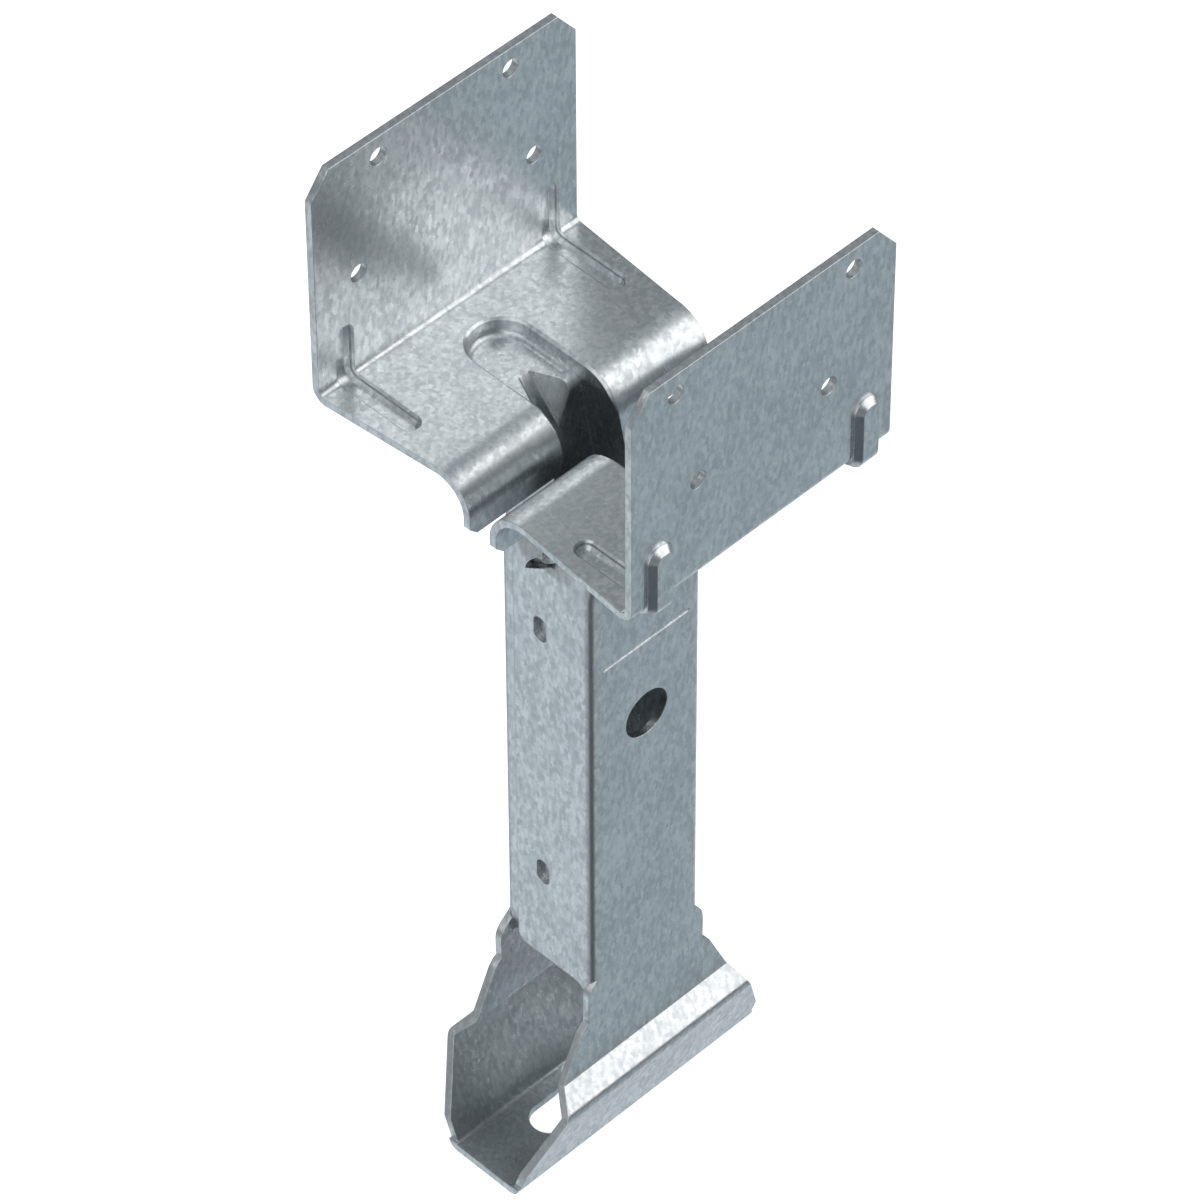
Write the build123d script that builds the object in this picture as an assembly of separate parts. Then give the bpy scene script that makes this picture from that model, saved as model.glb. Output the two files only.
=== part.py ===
from build123d import *
from math import atan2, cos, hypot, radians, sin, tan
import os

os.makedirs("parts", exist_ok=True)

# A timber post base folded from one galvanised strip, millimetres.
# X runs from the back plate to the front plate, Y along the fold lines, Z up.
# The origin is at the centre of the foot's underside.

sheet = 1.9
strip_width = 76.2
post_gap = 90.5
plate_height = 61.0
leg_height = 216.4
fold_inside = 1.6

# Saddle: plates, nail holes, seat and lips.
plate_corner = 5.2
plate_corner_drop = 6.6
nail_hole = 4.6
nail_narrow = 38.1
nail_wide = 51.2
nail_top_drop = 5.4
nail_row_pitch = 28.6
seat_narrowing = 2.7
lip_gap = 5.8
lip_bend = 9.5
lip_drop = 13.9
lip_corner = 2.0

# Beads pressed across each fold between plate and seat.
bead_inset = 7.8
bead_width = 4.4
bead_depth = 2.0
bead_up = 14.3
bead_start = 24.0
bead_end_share = 0.94
bead_edge = 0.45
bead_turn = 1.4
bead_widening = 0.8
bead_slope = 0.9
bead_slope_growth = 0.3

# Trough in the seat, the dart below it and the neck that widens into the stem.
trough_width = 15.4
trough_depth = 4.6
trough_reach = 37.0
trough_edge = 0.6
trough_bowl = 1.8
trough_under = 2.2
trough_turn = 1.2
trough_flat = 0.5
trough_ramp = 1.9
dart_start = 23.0
dart_end_drop = 15.2
dart_base = 3.2
dart_spread = 31.0
dart_height = 9.0
dart_round = 0.7
neck_bottom_drop = 35.6

# Stem: two nested channels, the front one outside the back one.
stem_depth = 29.7
stem_shift = -1.05
stem_width = 33.7
nest_gap = 0.25
stem_corner = 0.3
flange_front = 23.5
flange_back = 25.9
flange_bottom_drop = 160.2
flange_corner = 2.6
flange_root = 4.0
horn_low = 2.0
horn_top = 4.6
horn_set = 1.6
slit_past = 0.4
slit_rise = 3.4
slit_reach = 5.9
slit_drop = 3.0
slit_low = (0.9, 0.3)
slit_high = (1.4, 2.7)
web_hole = 12.7
web_hole_drop = 81.6
line_drop = 58.8
line_length = 26.0
line_width = 0.9
line_depth = 0.25
clinch_width = 3.8
clinch_height = 7.0
clinch_shift = 1.6
clinch_drop_top = 54.4
clinch_drop_low = 132.0
clinch_rim = 0.8
clinch_rise = 1.0
clinch_depth = 1.5
clinch_end_share = 0.9

# Foot: flared webs, outward strip, walls that lean in and the bottom plate.
foot_fold_drop = 184.6
foot_knee_drop = 190.6
foot_knee_out = 4.7
foot_half = 10.45
foot_shift = -0.35
foot_bend = 0.9
foot_root_half = 26.0
foot_knee_width = 29.2
foot_wall_half = 37.3
foot_corner_rise = 8.0
throat_half = 18.2
throat_drop = 164.5
throat_bulge = 0.4
throat_bulge_rise = 1.2
throat_lean = 0.12
notch_drop = 170.0
notch_half = 20.4
notch_height = 2.2
notch_hook = (0.1, 0.9, 0.6)
foot_hole = 19.4
foot_slot = 9.4
foot_slot_reach = 22.0
foot_slot_blend = 5.0
foot_step = 0.3

# How far tools run past the sheet, and how deep added pieces overlap it.
cut_far = 60.0
cut_past = 10.0
cut_thin = 1.0
skin_dip = 0.5
weld = 0.1

seat_z = leg_height
seat_under = seat_z - sheet
half_strip = strip_width / 2
half_gap = post_gap / 2
web_front = stem_depth / 2 + stem_shift
web_back = stem_depth / 2 - stem_shift
half_front = stem_width / 2
half_back = half_front - sheet - nest_gap
neck_z = seat_z - neck_bottom_drop
flange_end_z = seat_z - flange_bottom_drop
seat_half = half_strip - seat_narrowing
bead_offset = half_strip - bead_inset
lip_face = lip_gap / 2


def face_xz(*points):
    """Closed face in the XZ plane from (x, z) points."""
    return make_face(Polyline(*[(x, 0, z) for x, z in points], close=True))


def face_yz(*points):
    """Closed face in the YZ plane from (y, z) points."""
    return make_face(Polyline(*[(0, y, z) for y, z in points], close=True))


def rounded(face, spots, radius):
    """Round the corners of a face that lie at the given 3-D spots."""
    picked = []
    for spot in spots:
        picked.append(face.vertices().sort_by_distance(spot)[0])
    return fillet(picked, radius)


def across(face, half):
    """Thicken a face in the XZ plane to both sides along Y."""
    return extrude(face, amount=half, dir=(0, 1, 0), both=True)


def along(face, reach):
    """Thicken a face in the YZ plane to both sides along X."""
    return extrude(face, amount=reach, dir=(1, 0, 0), both=True)


def offset_points(points, distance):
    """Mitred copy of an open line of (x, z) points, moved to its right."""
    moved = []
    last = len(points) - 1
    for i, (x, z) in enumerate(points):
        before = points[i - 1] if i > 0 else None
        after = points[i + 1] if i < last else None
        first = before if before else (x, z)
        second = (x, z) if before else after
        angle_in = atan2(second[1] - first[1], second[0] - first[0])
        if before and after:
            angle_out = atan2(after[1] - z, after[0] - x)
        else:
            angle_out = angle_in
        half_turn = (angle_out - angle_in) / 2
        reach = distance / cos(half_turn)
        aim = angle_in + half_turn - radians(90)
        moved.append((x + reach * cos(aim), z + reach * sin(aim)))
    return moved


def folded(points, bends):
    """Sheet profile to the right of a line of points, with an inside radius at each bend."""
    other = offset_points(points, sheet)
    face = face_xz(*points, *reversed(other))
    last = len(points) - 1
    for i, inside in bends.items():
        before, spot, after = points[i - 1], points[i], points[i + 1]
        turn = (spot[0] - before[0]) * (after[1] - spot[1]) - (spot[1] - before[1]) * (after[0] - spot[0])
        near = inside if turn > 0 else inside + sheet
        far = inside + sheet if turn > 0 else inside
        face = rounded(face, [(spot[0], 0, spot[1])], near)
        face = rounded(face, [(other[i][0], 0, other[i][1])], far)
    return face


def box(x0, x1, y0, y1, z0, z1):
    """Box between two corners."""
    centre = ((x0 + x1) / 2, (y0 + y1) / 2, (z0 + z1) / 2)
    return Pos(*centre) * Box(abs(x1 - x0), abs(y1 - y0), abs(z1 - z0))


def saddle_sheet():
    """Plate, fold, seat, large bend and lip of one half, full strip width."""
    plate_top = seat_z + plate_height
    lip_z = seat_z - lip_drop
    line = [(lip_face, lip_z), (lip_face, seat_z), (half_gap, seat_z), (half_gap, plate_top)]
    body = across(folded(line, {1: lip_bend - sheet, 2: fold_inside}), half_strip)
    narrow_x = lip_face + lip_bend
    wide_x = half_gap - fold_inside
    outer_x = half_gap + cut_past
    plan = []
    for side in (1, -1):
        edge = [(0, seat_half), (narrow_x, seat_half), (wide_x, half_strip), (outer_x, half_strip)]
        plan += [(x, side * y) for x, y in edge[::side]]
    plan_face = make_face(Polyline(*plan, close=True))
    body &= extrude(Pos(0, 0, lip_z - cut_thin) * plan_face, amount=plate_height + lip_drop + 2 * cut_thin)
    under = seat_z - trough_depth - 2 * sheet
    right = [
        (seat_half - lip_corner, lip_z),
        (seat_half, lip_z + lip_corner),
        (seat_half, under),
        (half_strip, under),
        (half_strip, plate_top - plate_corner_drop),
        (half_strip - plate_corner, plate_top),
    ]
    left = [(-y, z) for y, z in reversed(right)]
    return body & along(face_yz(*right, *left), half_gap + cut_past)


def span(edge):
    """Lowest and highest corner of an edge."""
    bounds = edge.bounding_box()
    return bounds.min, bounds.max


def at(*values):
    """True when all the given lengths are zero within a hundredth of a millimetre."""
    return all(abs(value) < 0.01 for value in values)


def bead_floor_edge(edge, floor, wall, half):
    """True for the edges around the floor of a bead that lies on the XZ plane."""
    low, high = span(edge)
    if high.Y - low.Y > 2 * half - 0.1:
        return False
    if at(low.Z - floor, high.Z - floor) or at(low.X - wall, high.X - wall):
        return True
    return at(high.Y - low.Y) and high.X > wall - 0.01 and low.Z < floor + 0.01


def bead_rim_edge(edge, side):
    """True for the edges of a bead's mouth in the seat, the fold and the plate."""
    low, high = span(edge)
    reach = bead_width / 2 + 0.05
    if max(abs(side * low.Y - bead_offset), abs(side * high.Y - bead_offset)) > reach:
        return False
    on_seat = at(low.Z - seat_z, high.Z - seat_z) and low.X > bead_start - 0.1
    on_plate = at(low.X - half_gap, high.X - half_gap) and high.Z < seat_z + bead_up + 0.1
    fold_start = half_gap - fold_inside
    on_fold = low.X > fold_start - 0.01 and high.X < half_gap + 0.01 and low.Z > seat_z - 0.01
    return on_seat or on_plate or (on_fold and high.X - low.X > fold_inside / 2)


def trough_rim_edge(edge):
    """True for the edges of the trough's mouth in the seat."""
    low, high = span(edge)
    half = trough_width / 2 + 0.05
    return at(low.Z - seat_z, high.Z - seat_z) and max(-low.Y, high.Y) < half and low.X > lip_face


def bead_body(grow, side):
    """L-shaped bead across the fold between seat and plate, grown outward by a thickness."""
    start = bead_start - grow
    floor = seat_z - bead_depth - grow
    wall = half_gap + bead_depth + grow
    top = seat_z + bead_up + grow
    mid = sheet / 2 if grow else -cut_thin
    half = bead_width / 2 + grow * bead_widening
    face = face_xz(
        (start, seat_z - mid),
        (start, floor),
        (wall, floor),
        (wall, top),
        (half_gap + mid, top),
        (half_gap + mid, seat_z - mid),
    )
    face = rounded(face, [(wall, 0, floor)], fold_inside + grow + bead_turn)
    body = across(face, half)
    ends = body.edges().filter_by(Axis.Z).group_by(Axis.X)[0]
    ends += body.edges().filter_by(Axis.X).group_by(Axis.Z)[-1]
    body = fillet(ends, half * bead_end_share)
    floor_edges = body.edges().filter_by(lambda e: bead_floor_edge(e, floor, wall, half))
    body = chamfer(floor_edges, bead_slope + grow * bead_slope_growth)
    return Pos(0, side * bead_offset, 0) * body


def front_outline(outer_half, grow):
    """Outline across the strip: trough walls, then the neck widening into the stem."""
    floor = seat_z - trough_depth - grow
    half = outer_half - sheet + grow
    throat = trough_width / 2 + grow
    top = seat_z + 2 * cut_thin
    low = flange_end_z - 2 * cut_past
    side = [(throat, top), (throat, floor), (half, neck_z), (half, low)]
    other = [(-y, z) for y, z in reversed(side)]
    return along(face_yz(*side, *other), cut_far)


def trough_body(web, outer_half, grow):
    """Trough in the seat with a round outer end and the bend down into the web."""
    floor = seat_z - trough_depth - grow
    wall = web - sheet + grow
    throat = trough_width / 2 + grow
    reach = trough_reach + grow
    top = seat_z - skin_dip if grow else seat_z + cut_thin
    turn = sheet + trough_turn - grow
    low = floor - turn
    ramp = wall + turn + trough_flat
    ramp_top = ramp + trough_ramp * (top - floor)
    profile = face_xz((0, top), (ramp_top, top), (ramp, floor), (wall, floor), (wall, low), (0, low))
    profile = rounded(profile, [(wall, 0, floor)], turn * 0.999)
    bend = across(profile, half_strip) & front_outline(outer_half, grow)
    start = reach - throat
    plan = Pos(start / 2, 0, 0) * Rectangle(start, 2 * throat) + Pos(start, 0, 0) * Circle(throat)
    bowl = extrude(Pos(0, 0, floor) * plan, amount=top - floor)
    lowest = bowl.edges().group_by(Axis.Z)[0].filter_by(lambda e: e.center().X > cut_thin)
    return bend + (chamfer(lowest, trough_under) if grow else fillet(lowest, trough_bowl))


def stem_body(web, outer_half, grow):
    """Stem channel and the neck above it, grown outward by a thickness."""
    wall = web - sheet + grow
    top = seat_z - skin_dip if grow else seat_z + cut_thin
    low = flange_end_z - 2 * cut_past
    profile = face_xz((-cut_far, top), (wall, top), (wall, low), (-cut_far, low))
    body = across(profile, half_strip) & front_outline(outer_half, grow)
    corners = body.edges().filter_by(lambda e: abs(e.center().X - wall) < 0.01)
    corners = corners.filter_by(lambda e: abs(e.tangent_at(0).Y) < 0.9)
    corners = corners.filter_by(lambda e: e.center().Z < seat_z - trough_depth - sheet - 2 * cut_thin)
    return fillet(corners, stem_corner + grow)


def dart_body(web, grow):
    """Flat-bottomed groove cut diagonally across the corner of trough floor and web."""
    floor = seat_z - trough_depth
    wall = web - sheet
    low = seat_z - dart_end_drop
    run = hypot(dart_start - wall, floor - low)
    along_x = (dart_start - wall) / run
    along_z = (floor - low) / run
    normal = (-along_z, along_x)
    spread = radians(dart_spread)
    shift = -grow
    base = dart_base / 2 + grow * (1 / cos(spread) - tan(spread))
    height = dart_height + grow
    start = (dart_start + shift * normal[0], floor + shift * normal[1])
    end = (wall + shift * normal[0], low + shift * normal[1])
    level = floor - sheet / 2 if grow else floor + cut_thin
    over = (level - start[1]) / along_z
    back = (end[0] - (wall - sheet)) / along_x
    head = (start[0] + over * along_x, level)
    tail = (end[0] - back * along_x, end[1] - back * along_z)
    keep = face_xz(head, tail, (tail[0], level))
    plane = Plane(origin=(start[0], 0, start[1]), x_dir=(0, 1, 0), z_dir=(along_x, 0, along_z))
    top_half = base + height * tan(spread)
    section = make_face(
        Polyline((-base, 0), (base, 0), (top_half, height), (-top_half, height), close=True)
    )
    section = rounded(section, [(-base, 0, 0), (base, 0, 0)], dart_round + grow / 2)
    groove = extrude(plane * section, amount=cut_far, both=True)
    return across(keep, half_strip) & groove


def skin_limit(web, reach, horn):
    """Side outline that trims the stem and neck of one half."""
    free_x = web - reach
    wall = web - sheet
    top = neck_z - skin_dip
    points = [(half_gap, seat_z), (lip_face, seat_z), (lip_face, top)]
    if horn:
        top = neck_z + horn_top
        low = neck_z + horn_low
        points = points[:2] + [(lip_face, low), (-horn_set, low), (-horn_set, top)]
    points += [
        (free_x, top),
        (free_x, flange_end_z),
        (wall, flange_end_z),
        (wall, flange_end_z - flange_root - skin_dip),
        (half_gap, flange_end_z - flange_root - skin_dip),
    ]
    face = face_xz(*points)
    face = rounded(face, [(lip_face, 0, seat_z)], lip_bend)
    face = rounded(face, [(free_x, 0, flange_end_z)], flange_corner)
    face = rounded(face, [(wall, 0, flange_end_z)], flange_root)
    return across(face, half_strip)


def slit():
    """Crescent relief near the top of the outer flanges."""
    right = (lip_face + slit_past, 0, neck_z + slit_rise)
    tip = (-slit_reach, 0, neck_z - slit_drop)
    lower = ThreePointArc(tip, (-slit_low[0], 0, neck_z + slit_low[1]), right)
    upper = ThreePointArc(right, (-slit_high[0], 0, neck_z + slit_high[1]), tip)
    return across(make_face([lower, upper]), half_strip)


def half_base(web, outer_half, flange, outside):
    """One half of the folded strip, from the plate down to the end of the stem flanges."""
    skin = stem_body(web, outer_half, sheet) + trough_body(web, outer_half, sheet) + dart_body(web, sheet)
    skin &= skin_limit(web, flange, outside)
    body = saddle_sheet() + skin
    for side in (1, -1):
        body += bead_body(sheet, side)
    body -= stem_body(web, outer_half, 0)
    body -= trough_body(web, outer_half, 0)
    body -= dart_body(web, 0)
    for side in (1, -1):
        body -= bead_body(0, side)
    body = chamfer(body.edges().filter_by(trough_rim_edge), trough_edge)
    for side in (1, -1):
        body = chamfer(body.edges().filter_by(lambda e: bead_rim_edge(e, side)), bead_edge)
    if outside:
        body -= slit()
    upper, lower = (nail_wide, nail_narrow) if outside else (nail_narrow, nail_wide)
    row_z = seat_z + plate_height - nail_top_drop
    for pitch, z in ((upper, row_z), (lower, row_z - nail_row_pitch)):
        for side in (1, -1):
            hole = Cylinder(nail_hole / 2, 2 * cut_past, rotation=(0, 90, 0))
            body -= Pos(half_gap, side * pitch / 2, z) * hole
    return body


def foot_half_sheet(web, outer_half, reach):
    """Flared web, outward strip, leaning wall and half of the bottom plate."""
    top = flange_end_z + flange_root
    knee_z = seat_z - foot_knee_drop
    fold_z = seat_z - foot_fold_drop
    line = [(web, top), (web, fold_z), (web + foot_knee_out, knee_z), (reach, 0), (0, 0)]
    body = across(folded(line, {1: foot_bend, 2: foot_bend, 3: foot_bend}), half_strip)
    flat = outer_half - sheet - stem_corner
    throat_z = seat_z - throat_drop
    notch_z = seat_z - notch_drop
    curve = Spline(
        (0, flat, top + cut_thin),
        (0, outer_half + throat_bulge, (top + throat_z) / 2 + throat_bulge_rise),
        (0, throat_half, throat_z),
        tangents=[(0, throat_lean, -1), (0, 0, -1)],
    )
    knee_low = foot_corner_rise
    step = sheet + foot_step
    edge = Polyline(
        (0, throat_half, throat_z),
        (0, throat_half - notch_hook[0], notch_z),
        (0, throat_half + notch_hook[1], notch_z - notch_hook[2]),
        (0, notch_half, notch_z - notch_height),
        (0, foot_root_half, fold_z),
        (0, foot_knee_width, knee_z),
        (0, foot_wall_half, knee_low),
        (0, foot_wall_half, step),
        (0, half_strip, step),
        (0, half_strip, 0),
        (0, 0, 0),
        (0, 0, top + cut_thin),
        (0, flat, top + cut_thin),
    )
    outline = make_face([curve, edge])
    right = along(outline, cut_far)
    return body & (right + mirror(right, Plane.XZ))


def foot_hole_body():
    """Keyhole slot in the bottom plate: long slot with a round centre."""
    reach = foot_slot_reach - foot_slot / 2
    plan = Rectangle(foot_slot, 2 * reach) + Circle(foot_hole / 2)
    for side in (1, -1):
        plan += Pos(0, side * reach, 0) * Circle(foot_slot / 2)
    meet = (foot_hole ** 2 / 4 - foot_slot ** 2 / 4) ** 0.5
    spots = [(sx * foot_slot / 2, sy * meet, 0) for sx in (1, -1) for sy in (1, -1)]
    plan = rounded(plan, spots, foot_slot_blend)
    return extrude(Pos(0, 0, -cut_thin) * plan, amount=2 * sheet + cut_thin)


def clinch(drop, side):
    """Pressed mark that joins the nested flanges: inner pad and outer pocket."""
    z = seat_z - drop
    x = -clinch_shift
    wide = clinch_width / 2
    tall = clinch_height / 2
    inner = half_back - sheet
    pad_wide = wide + clinch_rim
    pad_tall = tall + clinch_rim
    pad_out = half_front - sheet + weld
    pad = box(x - pad_wide, x + pad_wide, inner - clinch_rise, pad_out, z - pad_tall, z + pad_tall)
    pad = fillet(pad.edges().filter_by(Axis.Y), wide * clinch_end_share)
    pocket_in = half_front - clinch_depth
    pocket = box(x - wide, x + wide, pocket_in, half_front + cut_thin, z - tall, z + tall)
    pocket = fillet(pocket.edges().filter_by(Axis.Y), wide * clinch_end_share)
    if side < 0:
        pad = mirror(pad, Plane.XZ)
        pocket = mirror(pocket, Plane.XZ)
    return pad, pocket


def post_base():
    """Whole folded strip as one solid."""
    front = half_base(web_front, half_front, flange_front, True)
    front += foot_half_sheet(web_front, half_front, foot_half + foot_shift)
    back = half_base(web_back, half_back, flange_back, False)
    back += foot_half_sheet(web_back, half_back, foot_half - foot_shift)
    body = front + mirror(back, Plane.YZ)
    body -= foot_hole_body()
    hole = Cylinder(web_hole / 2, stem_depth + cut_past, rotation=(0, 90, 0))
    body -= Pos(0, 0, seat_z - web_hole_drop) * hole
    for drop in (clinch_drop_top, clinch_drop_low):
        for side in (1, -1):
            pad, pocket = clinch(drop, side)
            body += pad
            body -= pocket
    half_line = line_length / 2
    line_z = seat_z - line_drop
    low, high = line_z - line_width / 2, line_z + line_width / 2
    wall = web_front - sheet
    body += box(wall - line_depth, wall + weld, -half_line, half_line, low, high)
    return body - box(web_front - line_depth, web_front + cut_thin, -half_line, half_line, low, high)


base = post_base()
export_step(base, "parts/post_base.step")
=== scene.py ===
"""Galvanised post base on a pale studio floor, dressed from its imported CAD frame.

Every length is in metres and every place is in the frame of the CAD model: +Z up the stem, X from
the back nail plate to the front one. The folded sheet is the CAD solid itself. This file gives it
the shading of pressed sheet, its zinc coat, and a floor, a studio and a camera.
"""

import math

import bpy
from mathutils import Matrix, Vector

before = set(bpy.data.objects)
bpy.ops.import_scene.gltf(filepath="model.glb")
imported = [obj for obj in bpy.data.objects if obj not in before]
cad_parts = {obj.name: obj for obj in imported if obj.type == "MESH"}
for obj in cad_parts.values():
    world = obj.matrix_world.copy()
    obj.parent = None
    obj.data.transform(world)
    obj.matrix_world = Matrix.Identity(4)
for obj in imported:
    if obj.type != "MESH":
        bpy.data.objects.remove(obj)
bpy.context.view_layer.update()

bl_info = {
    "name": "Timber post base",
    "version": (1, 0, 0),
    "blender": (4, 5, 0),
    "location": "3D View > Sidebar > Post base",
    "description": "Finishes a folded galvanised post base and sets up its studio",
    "category": "Object",
}

SHEET_NODE = "post_base"
MM = 0.001

# The floor lies just under the foot, so the two never share a face.
FLOOR_DROP = 0.2 * MM
FLOOR_GLOW = 1.1
FLOOR_LEVEL = "#a8a8a8"
# How bright the room is from straight below (0) to straight above (1).
ROOM_LEVELS = ((0.0, 0.50), (0.25, 0.42), (0.46, 0.15), (0.60, 0.15), (0.85, 0.31), (1.0, 0.62))
# Panels of the room: the way to each, the angles in degrees where it is full and where it has
# faded out, and its colour. A later one covers an earlier one.
ROOM_PANELS = (
    ((0.71, 0.50, 0.44), 30, 43, (1.52, 1.52, 1.52)),
    ((0.87, 0.47, -0.16), 8, 16, (0.02, 0.03, 0.04)),
    ((0.10, -0.90, 0.35), 22, 45, (1.00, 1.02, 1.04)),
    ((-0.49, -0.49, -0.72), 3, 22, (0.66, 0.74, 0.79)),
    ((-0.05, 0.49, -0.87), 8, 26, (0.62, 0.68, 0.72)),
    ((0.49, 0.49, -0.72), 8, 26, (0.37, 0.44, 0.48)),
    ((0.49, -0.49, -0.72), 10, 28, (0.05, 0.07, 0.09)),
)


def linear(hex_code):
    """A linear RGBA colour from an sRGB hex code."""
    parts = [int(hex_code[i : i + 2], 16) / 255 for i in (1, 3, 5)]
    return [c / 12.92 if c <= 0.04045 else ((c + 0.055) / 1.055) ** 2.4 for c in parts] + [1.0]


def add(tree, kind, inputs=None, **settings):
    """A new node of that kind. inputs gives each input socket a value or the socket that feeds it."""
    node = tree.nodes.new(kind)
    for name, value in settings.items():
        setattr(node, name, value)
    for name, value in (inputs or {}).items():
        if isinstance(value, bpy.types.NodeSocket):
            tree.links.new(value, node.inputs[name])
        else:
            node.inputs[name].default_value = value
    return node


class SheetSettings(bpy.types.PropertyGroup):
    """How the folded sheet is shaded before its coat goes on."""

    weld_distance: bpy.props.FloatProperty(
        name="Weld distance",
        description="Corners of the packed mesh nearer than this become one",
        default=0.001 * MM,
        min=0.0,
        precision=7,
        unit="LENGTH",
    )
    crease_angle: bpy.props.FloatProperty(
        name="Crease angle",
        description="Edges that turn by more than this stay sharp, and bends below it look round",
        default=math.radians(44),
        min=0.0,
        max=math.pi,
        subtype="ANGLE",
    )


class ZincSettings(bpy.types.PropertyGroup):
    """Colours and pattern sizes of the zinc coat."""

    dark_crystal: bpy.props.FloatVectorProperty(
        name="Dark crystal",
        description="Duller crystals of the coat",
        default=linear("#c6cbce"),
        size=4,
        min=0.0,
        max=1.0,
        subtype="COLOR",
    )
    light_crystal: bpy.props.FloatVectorProperty(
        name="Light crystal",
        description="Brighter crystals of the coat",
        default=linear("#e6e9ea"),
        size=4,
        min=0.0,
        max=1.0,
        subtype="COLOR",
    )
    # Lighter colour for sheared edges and creases: partly rubbed zinc, partly a painted highlight along the
    # edge.
    rubbed_edge_and_highlight: bpy.props.FloatVectorProperty(
        name="Rubbed edge and highlight",
        description="Zinc rubbed bright along sheared edges",
        default=linear("#eceeef"),
        size=4,
        min=0.0,
        max=1.0,
        subtype="COLOR",
    )
    roughness: bpy.props.FloatProperty(
        name="Roughness",
        description="How soft the coat's reflections are",
        default=0.32,
        min=0.0,
        max=1.0,
        subtype="FACTOR",
    )
    crystal_tilt: bpy.props.FloatProperty(
        name="Crystal tilt",
        description="How far the crystals lean away from the sheet, as a share of the normal",
        default=0.05,
        min=0.0,
        max=1.0,
        subtype="FACTOR",
    )
    crystal_width: bpy.props.FloatProperty(
        name="Crystal width",
        description="Width of one spangle crystal of the coat",
        default=0.9 * MM,
        min=0.1 * MM,
        precision=5,
        unit="LENGTH",
    )
    crystal_length: bpy.props.FloatProperty(
        name="Crystal length",
        description="Length of one spangle crystal of the coat",
        default=1.9 * MM,
        min=0.1 * MM,
        precision=5,
        unit="LENGTH",
    )
    grain: bpy.props.FloatProperty(
        name="Grain",
        description="Size of the finest mottling inside a crystal",
        default=0.4 * MM,
        min=0.05 * MM,
        precision=5,
        unit="LENGTH",
    )
    cloud: bpy.props.FloatProperty(
        name="Cloud",
        description="Size of the duller and brighter patches of the coat",
        default=17 * MM,
        min=1 * MM,
        precision=4,
        unit="LENGTH",
    )
    edge_round: bpy.props.FloatProperty(
        name="Edge round",
        description="Radius that the coat gives to every sheared edge",
        default=0.3 * MM,
        min=0.0,
        precision=5,
        unit="LENGTH",
    )


class StudioSettings(bpy.types.PropertyGroup):
    """Floor, light and camera of the studio."""

    floor_size: bpy.props.FloatProperty(
        name="Floor size",
        description="Side of the square floor",
        default=14.0,
        min=1.0,
        unit="LENGTH",
    )
    floor_colour: bpy.props.FloatVectorProperty(
        name="Floor colour",
        description="Paint of the floor",
        default=linear("#f4f5f6"),
        size=4,
        min=0.0,
        max=1.0,
        subtype="COLOR",
    )
    camera_place: bpy.props.FloatVectorProperty(
        name="Camera place",
        description="Where the camera's lens is",
        default=(0.7754, -0.7698, 1.2941),
        size=3,
        subtype="TRANSLATION",
    )
    camera_azimuth: bpy.props.FloatProperty(
        name="Camera azimuth",
        description="Turn of the camera about the vertical, 0 looking along +Y",
        default=math.radians(45.221),
        subtype="ANGLE",
    )
    camera_elevation: bpy.props.FloatProperty(
        name="Camera elevation",
        description="Angle of the camera above the horizon",
        default=math.radians(46.072),
        subtype="ANGLE",
    )
    camera_roll: bpy.props.FloatProperty(
        name="Camera roll",
        description="Turn of the camera about its own line of sight",
        default=math.radians(-0.246),
        subtype="ANGLE",
    )
    camera_lens: bpy.props.FloatProperty(
        name="Camera lens",
        description="Focal length in millimetres on a sensor 36 mm wide",
        default=220.2,
        min=1.0,
    )


class POSTBASE_OT_shade_sheet(bpy.types.Operator):
    """Welds the folded sheet's mesh for shading, with round bends and crisp sheared edges"""

    bl_idname = "post_base.shade_sheet"
    bl_label = "Shade the folded sheet"

    def execute(self, context):
        settings = context.scene.post_base_sheet
        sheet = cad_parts[SHEET_NODE]
        tree = bpy.data.node_groups.new("pressed_sheet_shading", "GeometryNodeTree")
        tree.interface.new_socket("Geometry", in_out="INPUT", socket_type="NodeSocketGeometry")
        tree.interface.new_socket("Geometry", in_out="OUTPUT", socket_type="NodeSocketGeometry")
        source = add(tree, "NodeGroupInput")
        welded = add(
            tree,
            "GeometryNodeMergeByDistance",
            {"Geometry": source.outputs[0], "Distance": settings.weld_distance},
        )
        smooth = add(tree, "GeometryNodeSetShadeSmooth", {"Geometry": welded.outputs[0]}, domain="FACE")
        turn = add(tree, "GeometryNodeInputMeshEdgeAngle")
        sharp = add(
            tree,
            "FunctionNodeCompare",
            {0: turn.outputs["Unsigned Angle"], 1: settings.crease_angle},
            data_type="FLOAT",
            operation="GREATER_THAN",
        )
        crisp = add(
            tree,
            "GeometryNodeSetShadeSmooth",
            {"Geometry": smooth.outputs[0], "Selection": sharp.outputs[0], "Shade Smooth": False},
            domain="EDGE",
        )
        add(tree, "NodeGroupOutput", {0: crisp.outputs[0]})
        modifier = sheet.modifiers.new("pressed_sheet_shading", "NODES")
        modifier.node_group = tree
        # Flat faces keep their own normal, so only bends and pressed corners shade round.
        flats = sheet.modifiers.new("flats_stay_flat", "WEIGHTED_NORMAL")
        flats.keep_sharp = True
        return {"FINISHED"}


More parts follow.
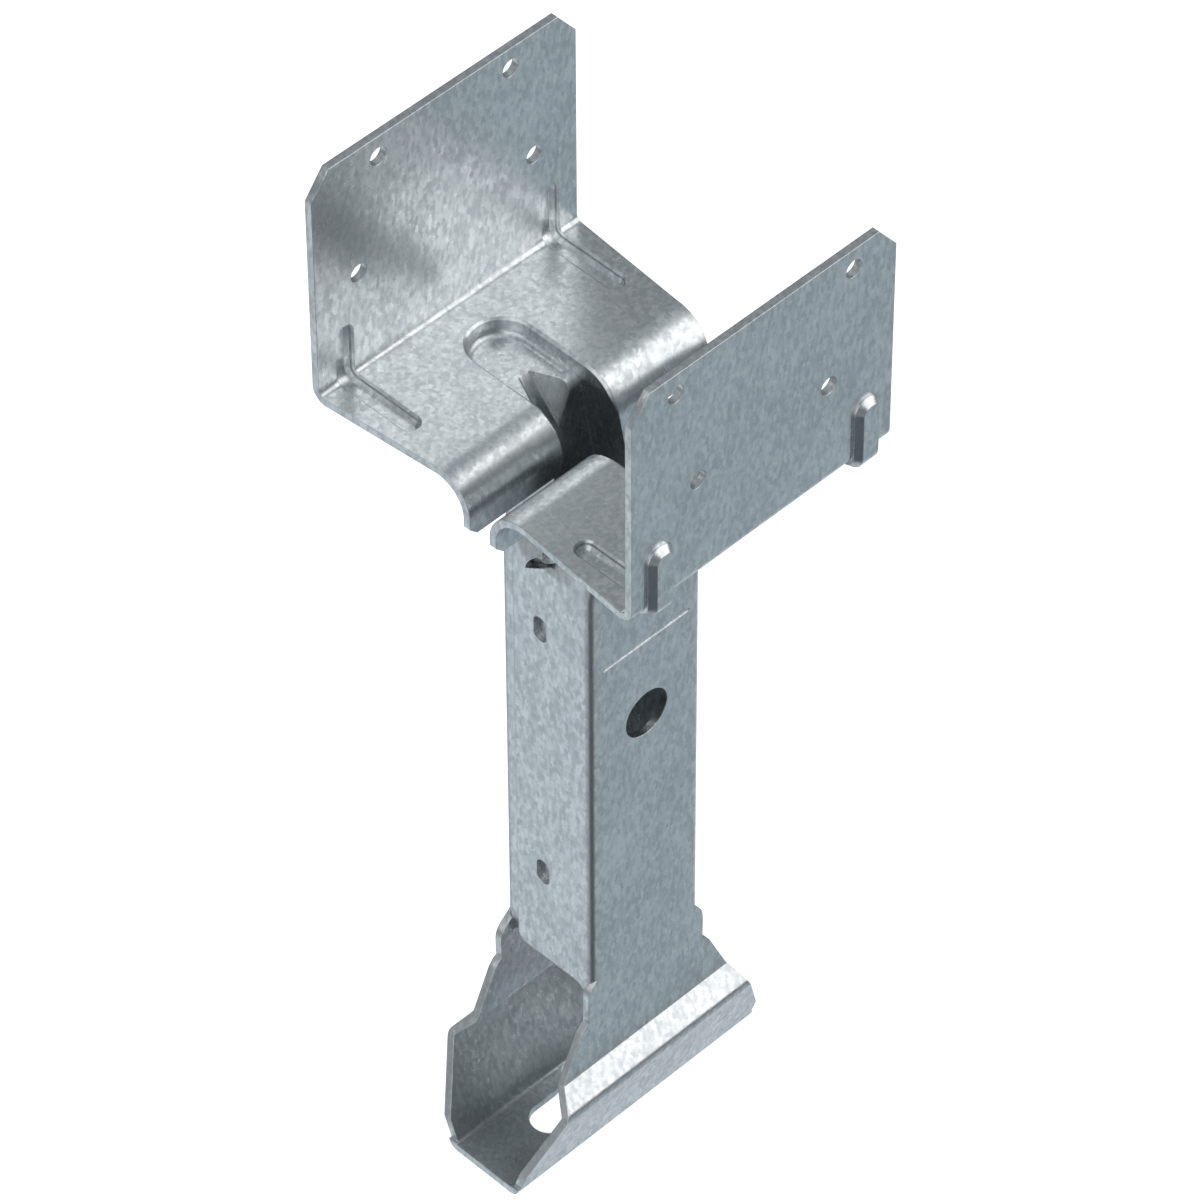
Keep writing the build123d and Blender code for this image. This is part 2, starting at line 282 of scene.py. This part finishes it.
class POSTBASE_OT_coat_sheet(bpy.types.Operator):
    """Coats the folded sheet with hot-dip zinc"""

    bl_idname = "post_base.coat_sheet"
    bl_label = "Galvanise the sheet"

    def execute(self, context):
        zinc = context.scene.post_base_zinc
        # Steel sheet, hot-dip galvanised and then sheared and pressed. The zinc freezes in small
        # flat crystals. Each leans a little its own way, so the eye sees a cool grey metal, soft in
        # its reflections, with fine flecks that show most where the room changes from light to dark.
        material = bpy.data.materials.new("hot_dip_galvanised_steel")
        material.use_nodes = True
        tree = material.node_tree
        tree.nodes.clear()
        place = add(tree, "ShaderNodeTexCoord").outputs["Object"]
        # The crystals' outlines wander by about half a crystal, so no cell looks cut with a knife.
        wander = add(
            tree,
            "ShaderNodeTexNoise",
            {"Vector": place, "Scale": 1 / zinc.crystal_width, "Detail": 2.0, "Roughness": 0.6},
        )
        drift = self.centred(tree, wander.outputs["Color"], 1.2 * zinc.crystal_width)
        bent = add(tree, "ShaderNodeVectorMath", {0: place, 1: drift}, operation="ADD").outputs[0]
        lays = []
        for turn in ((0.6, 0.3, 0.7), (-0.5, 0.9, -0.4)):
            lay = add(
                tree,
                "ShaderNodeMapping",
                {
                    "Vector": bent,
                    "Rotation": turn,
                    "Scale": (1 / zinc.crystal_width, 1 / zinc.crystal_width, 1 / zinc.crystal_length),
                },
            )
            cell = add(
                tree,
                "ShaderNodeTexVoronoi",
                {"Vector": lay.outputs[0], "Scale": 1.0, "Smoothness": 0.4, "Randomness": 1.0},
                feature="SMOOTH_F1",
            )
            lays.append(cell.outputs["Color"])
        crystals = add(
            tree,
            "ShaderNodeMix",
            {0: 0.5, 6: lays[0], 7: lays[1]},
            data_type="RGBA",
        ).outputs[2]
        shade = add(tree, "ShaderNodeSeparateColor", {0: crystals}).outputs[0]
        cloud = add(
            tree,
            "ShaderNodeTexNoise",
            {"Vector": place, "Scale": 1 / zinc.cloud, "Detail": 4.0, "Roughness": 0.55},
        ).outputs[0]
        mottled = add(tree, "ShaderNodeMix", {0: 0.4, 2: shade, 3: cloud}, data_type="FLOAT").outputs[0]
        tone = add(
            tree,
            "ShaderNodeMapRange",
            {"Value": mottled, "From Min": 0.3, "From Max": 0.7},
        ).outputs[0]
        coat = add(
            tree,
            "ShaderNodeMix",
            {0: tone, 6: zinc.dark_crystal, 7: zinc.light_crystal},
            data_type="RGBA",
        ).outputs[2]
        # Sheared edges, and inner creases too, get a lighter coat colour. This is partly zinc rubbed bright
        # and partly a painted highlight where a rounded edge would catch the light.
        rounded = add(tree, "ShaderNodeBevel", {"Radius": zinc.edge_round}, samples=6).outputs[0]
        flat = add(tree, "ShaderNodeNewGeometry").outputs["Normal"]
        facing = add(tree, "ShaderNodeVectorMath", {0: rounded, 1: flat}, operation="DOT_PRODUCT")
        edge = add(
            tree,
            "ShaderNodeMapRange",
            {"Value": facing.outputs["Value"], "From Min": 0.985, "From Max": 0.85, "To Max": 0.5},
        ).outputs[0]
        coat_with_edge_highlight = add(tree, "ShaderNodeMix", {0: edge, 6: coat, 7: zinc.rubbed_edge_and_highlight}, data_type="RGBA").outputs[2]
        gloss = add(
            tree,
            "ShaderNodeMapRange",
            {
                "Value": mottled,
                "From Min": 0.3,
                "From Max": 0.7,
                "To Min": 1.15 * zinc.roughness,
                "To Max": 0.85 * zinc.roughness,
            },
        ).outputs[0]
        lean = self.centred(tree, crystals, zinc.crystal_tilt)
        leaning = add(tree, "ShaderNodeVectorMath", {0: rounded, 1: lean}, operation="ADD").outputs[0]
        unit = add(tree, "ShaderNodeVectorMath", {0: leaning}, operation="NORMALIZE").outputs[0]
        grain = add(
            tree,
            "ShaderNodeTexNoise",
            {"Vector": place, "Scale": 1 / zinc.grain, "Detail": 2.0, "Roughness": 0.6},
        ).outputs[0]
        relief = add(
            tree,
            "ShaderNodeBump",
            {"Strength": 0.3, "Distance": 0.02 * MM, "Height": grain, "Normal": unit},
        ).outputs[0]
        surface = add(
            tree,
            "ShaderNodeBsdfPrincipled",
            {"Base Color": coat_with_edge_highlight, "Metallic": 1.0, "Roughness": gloss, "Normal": relief},
        )
        add(tree, "ShaderNodeOutputMaterial", {"Surface": surface.outputs[0]})
        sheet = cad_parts[SHEET_NODE]
        sheet.data.materials[0] = material
        return {"FINISHED"}

    def centred(self, tree, colour, reach):
        """A colour turned into a vector about zero, scaled to reach that far."""
        shift = add(tree, "ShaderNodeVectorMath", {0: colour, 1: (0.5, 0.5, 0.5)}, operation="SUBTRACT")
        scaled = add(tree, "ShaderNodeVectorMath", {0: shift.outputs[0], "Scale": reach}, operation="SCALE")
        return scaled.outputs[0]


class POSTBASE_OT_studio(bpy.types.Operator):
    """Lays the pale floor, lights the room softly and sets up the camera"""

    bl_idname = "post_base.studio"
    bl_label = "Set up the studio"

    def execute(self, context):
        studio = context.scene.post_base_studio
        context.scene.view_settings.view_transform = "Standard"
        self.lay_floor(context, studio)
        self.light_room(context)
        self.set_camera(context, studio)
        return {"FINISHED"}

    def lay_floor(self, context, studio):
        """A painted floor that glows like a lit white sweep, so shadows on it stay faint."""
        half = studio.floor_size / 2
        mesh = bpy.data.meshes.new("studio_floor")
        corners = [(-half, -half), (half, -half), (half, half), (-half, half)]
        mesh.from_pydata([(x, y, -FLOOR_DROP) for x, y in corners], [], [(0, 1, 2, 3)])
        floor = bpy.data.objects.new("studio_floor", mesh)
        context.scene.collection.objects.link(floor)
        paint = bpy.data.materials.new("matt_white_paint")
        paint.use_nodes = True
        tree = paint.node_tree
        tree.nodes.clear()
        surface = add(
            tree,
            "ShaderNodeBsdfPrincipled",
            {
                "Base Color": linear(FLOOR_LEVEL),
                "Roughness": 0.9,
                "Specular IOR Level": 0.0,
                "Emission Color": studio.floor_colour,
                "Emission Strength": FLOOR_GLOW,
            },
        )
        add(tree, "ShaderNodeOutputMaterial", {"Surface": surface.outputs[0]})
        mesh.materials.append(paint)
        floor.visible_glossy = False

    def light_room(self, context):
        """Soft light from all round, with broad bright and dark panels where a studio hangs them."""
        world = bpy.data.worlds.new("soft_room")
        world.use_nodes = True
        tree = world.node_tree
        tree.nodes.clear()
        way = add(tree, "ShaderNodeTexCoord").outputs["Generated"]
        height = add(tree, "ShaderNodeSeparateXYZ", {0: way})
        share = add(
            tree,
            "ShaderNodeMapRange",
            {"Value": height.outputs["Z"], "From Min": -1.0, "From Max": 1.0},
        )
        ramp = add(tree, "ShaderNodeValToRGB", {0: share.outputs[0]})
        while len(ramp.color_ramp.elements) < len(ROOM_LEVELS):
            ramp.color_ramp.elements.new(0.5)
        for element, (at, level) in zip(ramp.color_ramp.elements, ROOM_LEVELS):
            element.position = at
            element.color = (level * 0.94, level, level * 1.04, 1.0)
        room = ramp.outputs[0]
        for aim, core, rim, colour in ROOM_PANELS:
            toward = add(
                tree,
                "ShaderNodeVectorMath",
                {0: way, 1: Vector(aim).normalized()},
                operation="DOT_PRODUCT",
            )
            panel = add(
                tree,
                "ShaderNodeMapRange",
                {
                    "Value": toward.outputs["Value"],
                    "From Min": math.cos(math.radians(rim)),
                    "From Max": math.cos(math.radians(core)),
                },
                interpolation_type="SMOOTHSTEP",
            )
            mixed = add(
                tree,
                "ShaderNodeMix",
                {0: panel.outputs[0], 6: room, 7: (*colour, 1.0)},
                data_type="RGBA",
            )
            room = mixed.outputs[2]
        seen = add(tree, "ShaderNodeLightPath")
        shown = add(
            tree,
            "ShaderNodeMix",
            {0: seen.outputs["Is Camera Ray"], 6: room, 7: linear("#fefefe")},
            data_type="RGBA",
        )
        sky = add(tree, "ShaderNodeBackground", {"Color": shown.outputs[2], "Strength": 1.0})
        add(tree, "ShaderNodeOutputWorld", {"Surface": sky.outputs[0]})
        context.scene.world = world

    def set_camera(self, context, studio):
        """The camera at the photograph's viewing angle."""
        lens = bpy.data.cameras.new("camera")
        lens.lens = studio.camera_lens
        lens.sensor_width = 36.0
        lens.clip_start = 0.05
        lens.clip_end = 50.0
        camera = bpy.data.objects.new("camera", lens)
        context.scene.collection.objects.link(camera)
        turn = (
            Matrix.Rotation(studio.camera_azimuth, 4, "Z")
            @ Matrix.Rotation(math.pi / 2 - studio.camera_elevation, 4, "X")
            @ Matrix.Rotation(studio.camera_roll, 4, "Z")
        )
        camera.matrix_world = Matrix.Translation(Vector(studio.camera_place)) @ turn
        context.scene.camera = camera


class POSTBASE_PT_panel(bpy.types.Panel):
    """Settings and steps of the post base"""

    bl_idname = "POSTBASE_PT_panel"
    bl_label = "Post base"
    bl_space_type = "VIEW_3D"
    bl_region_type = "UI"
    bl_category = "Post base"

    def draw(self, context):
        for group, operators in (
            ("post_base_sheet", ("post_base.shade_sheet",)),
            ("post_base_zinc", ("post_base.coat_sheet",)),
            ("post_base_studio", ("post_base.studio",)),
        ):
            settings = getattr(context.scene, group)
            column = self.layout.column()
            for name in settings.__annotations__:
                column.prop(settings, name)
            for operator in operators:
                column.operator(operator)


CLASSES = (
    SheetSettings,
    ZincSettings,
    StudioSettings,
    POSTBASE_OT_shade_sheet,
    POSTBASE_OT_coat_sheet,
    POSTBASE_OT_studio,
    POSTBASE_PT_panel,
)


def register():
    for item in CLASSES:
        bpy.utils.register_class(item)
    bpy.types.Scene.post_base_sheet = bpy.props.PointerProperty(type=SheetSettings)
    bpy.types.Scene.post_base_zinc = bpy.props.PointerProperty(type=ZincSettings)
    bpy.types.Scene.post_base_studio = bpy.props.PointerProperty(type=StudioSettings)


def unregister():
    del bpy.types.Scene.post_base_studio
    del bpy.types.Scene.post_base_zinc
    del bpy.types.Scene.post_base_sheet
    for item in reversed(CLASSES):
        bpy.utils.unregister_class(item)


def main():
    register()
    bpy.ops.post_base.shade_sheet()
    bpy.ops.post_base.coat_sheet()
    bpy.ops.post_base.studio()


if __name__ == "__main__":
    main()
